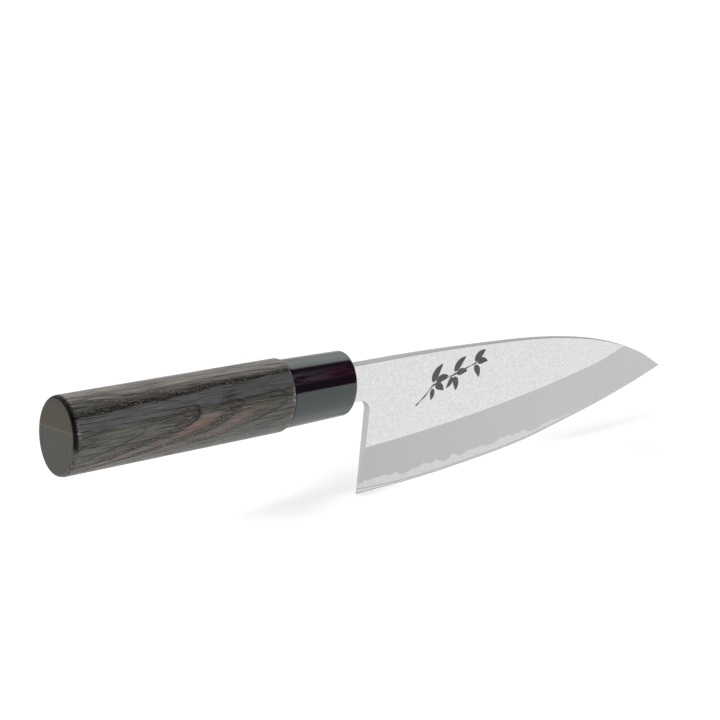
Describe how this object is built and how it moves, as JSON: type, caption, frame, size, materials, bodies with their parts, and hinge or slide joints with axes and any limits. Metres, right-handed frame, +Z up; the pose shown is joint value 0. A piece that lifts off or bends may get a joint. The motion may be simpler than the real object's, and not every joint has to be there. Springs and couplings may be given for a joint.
{
  "type": "boning knife",
  "caption": "Single-bevel butcher's boning knife with a broad pointed blade, oval burnt-wood handle and black ferrule.",
  "frame": {"origin": "centre of the flat butt face of the handle", "axes": "+X along the handle axis to the blade tip, +Z up to the spine with the cutting edge down, +Y to the flat back of the blade"},
  "size_m": [0.301, 0.0218, 0.0606],
  "materials": {
    "soft_steel": "satin ground bevel, fine pear-skin flat",
    "hard_steel": "fine satin, lighter than the body",
    "burnt_wood": "scorched grain under a clear gloss coat",
    "ferrule_black": "polished",
    "dowel_wood": "bare softwood",
    "resin": "cast amber resin",
    "seal": "matt filler bead"
  },
  "bodies": {
    "root": {"blade_body": "soft_steel", "edge_steel": "hard_steel", "handle_grip": "burnt_wood", "ferrule": "ferrule_black", "core_dowel": "dowel_wood", "tang_resin": "resin", "mouth_seal": "seal"}
  },
  "joints": []
}
